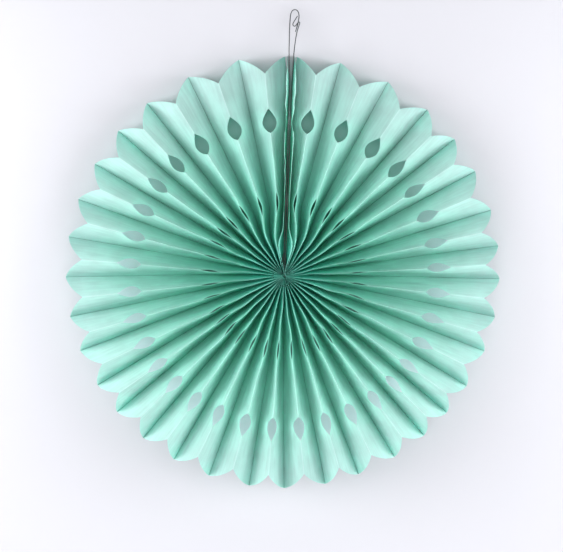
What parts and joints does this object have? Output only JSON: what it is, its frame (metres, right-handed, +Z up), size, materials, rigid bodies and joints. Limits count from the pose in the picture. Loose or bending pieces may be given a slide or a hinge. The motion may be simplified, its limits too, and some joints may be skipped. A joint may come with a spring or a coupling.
{
  "type": "paper fan rosette",
  "caption": "Round hanging rosette of one accordion-folded mint paper sheet with a scalloped rim, almond holes and a string loop.",
  "frame": {"origin": "middle of the rosette's bounding box, on the hub's axis at half the depth of the pleats, without the string", "axes": "+Z up along the seam towards the hanging loop, +Y from the front of the fan to its back, along the hub's axis"},
  "size_m": [0.3998, 0.0254, 0.4414],
  "materials": {
    "mint_paper": "matt dyed tissue paper",
    "twine": "thin twisted grey-brown twine"
  },
  "bodies": {
    "root": {"pleated_sheet": "mint_paper", "hanging_string": "twine"}
  },
  "joints": []
}
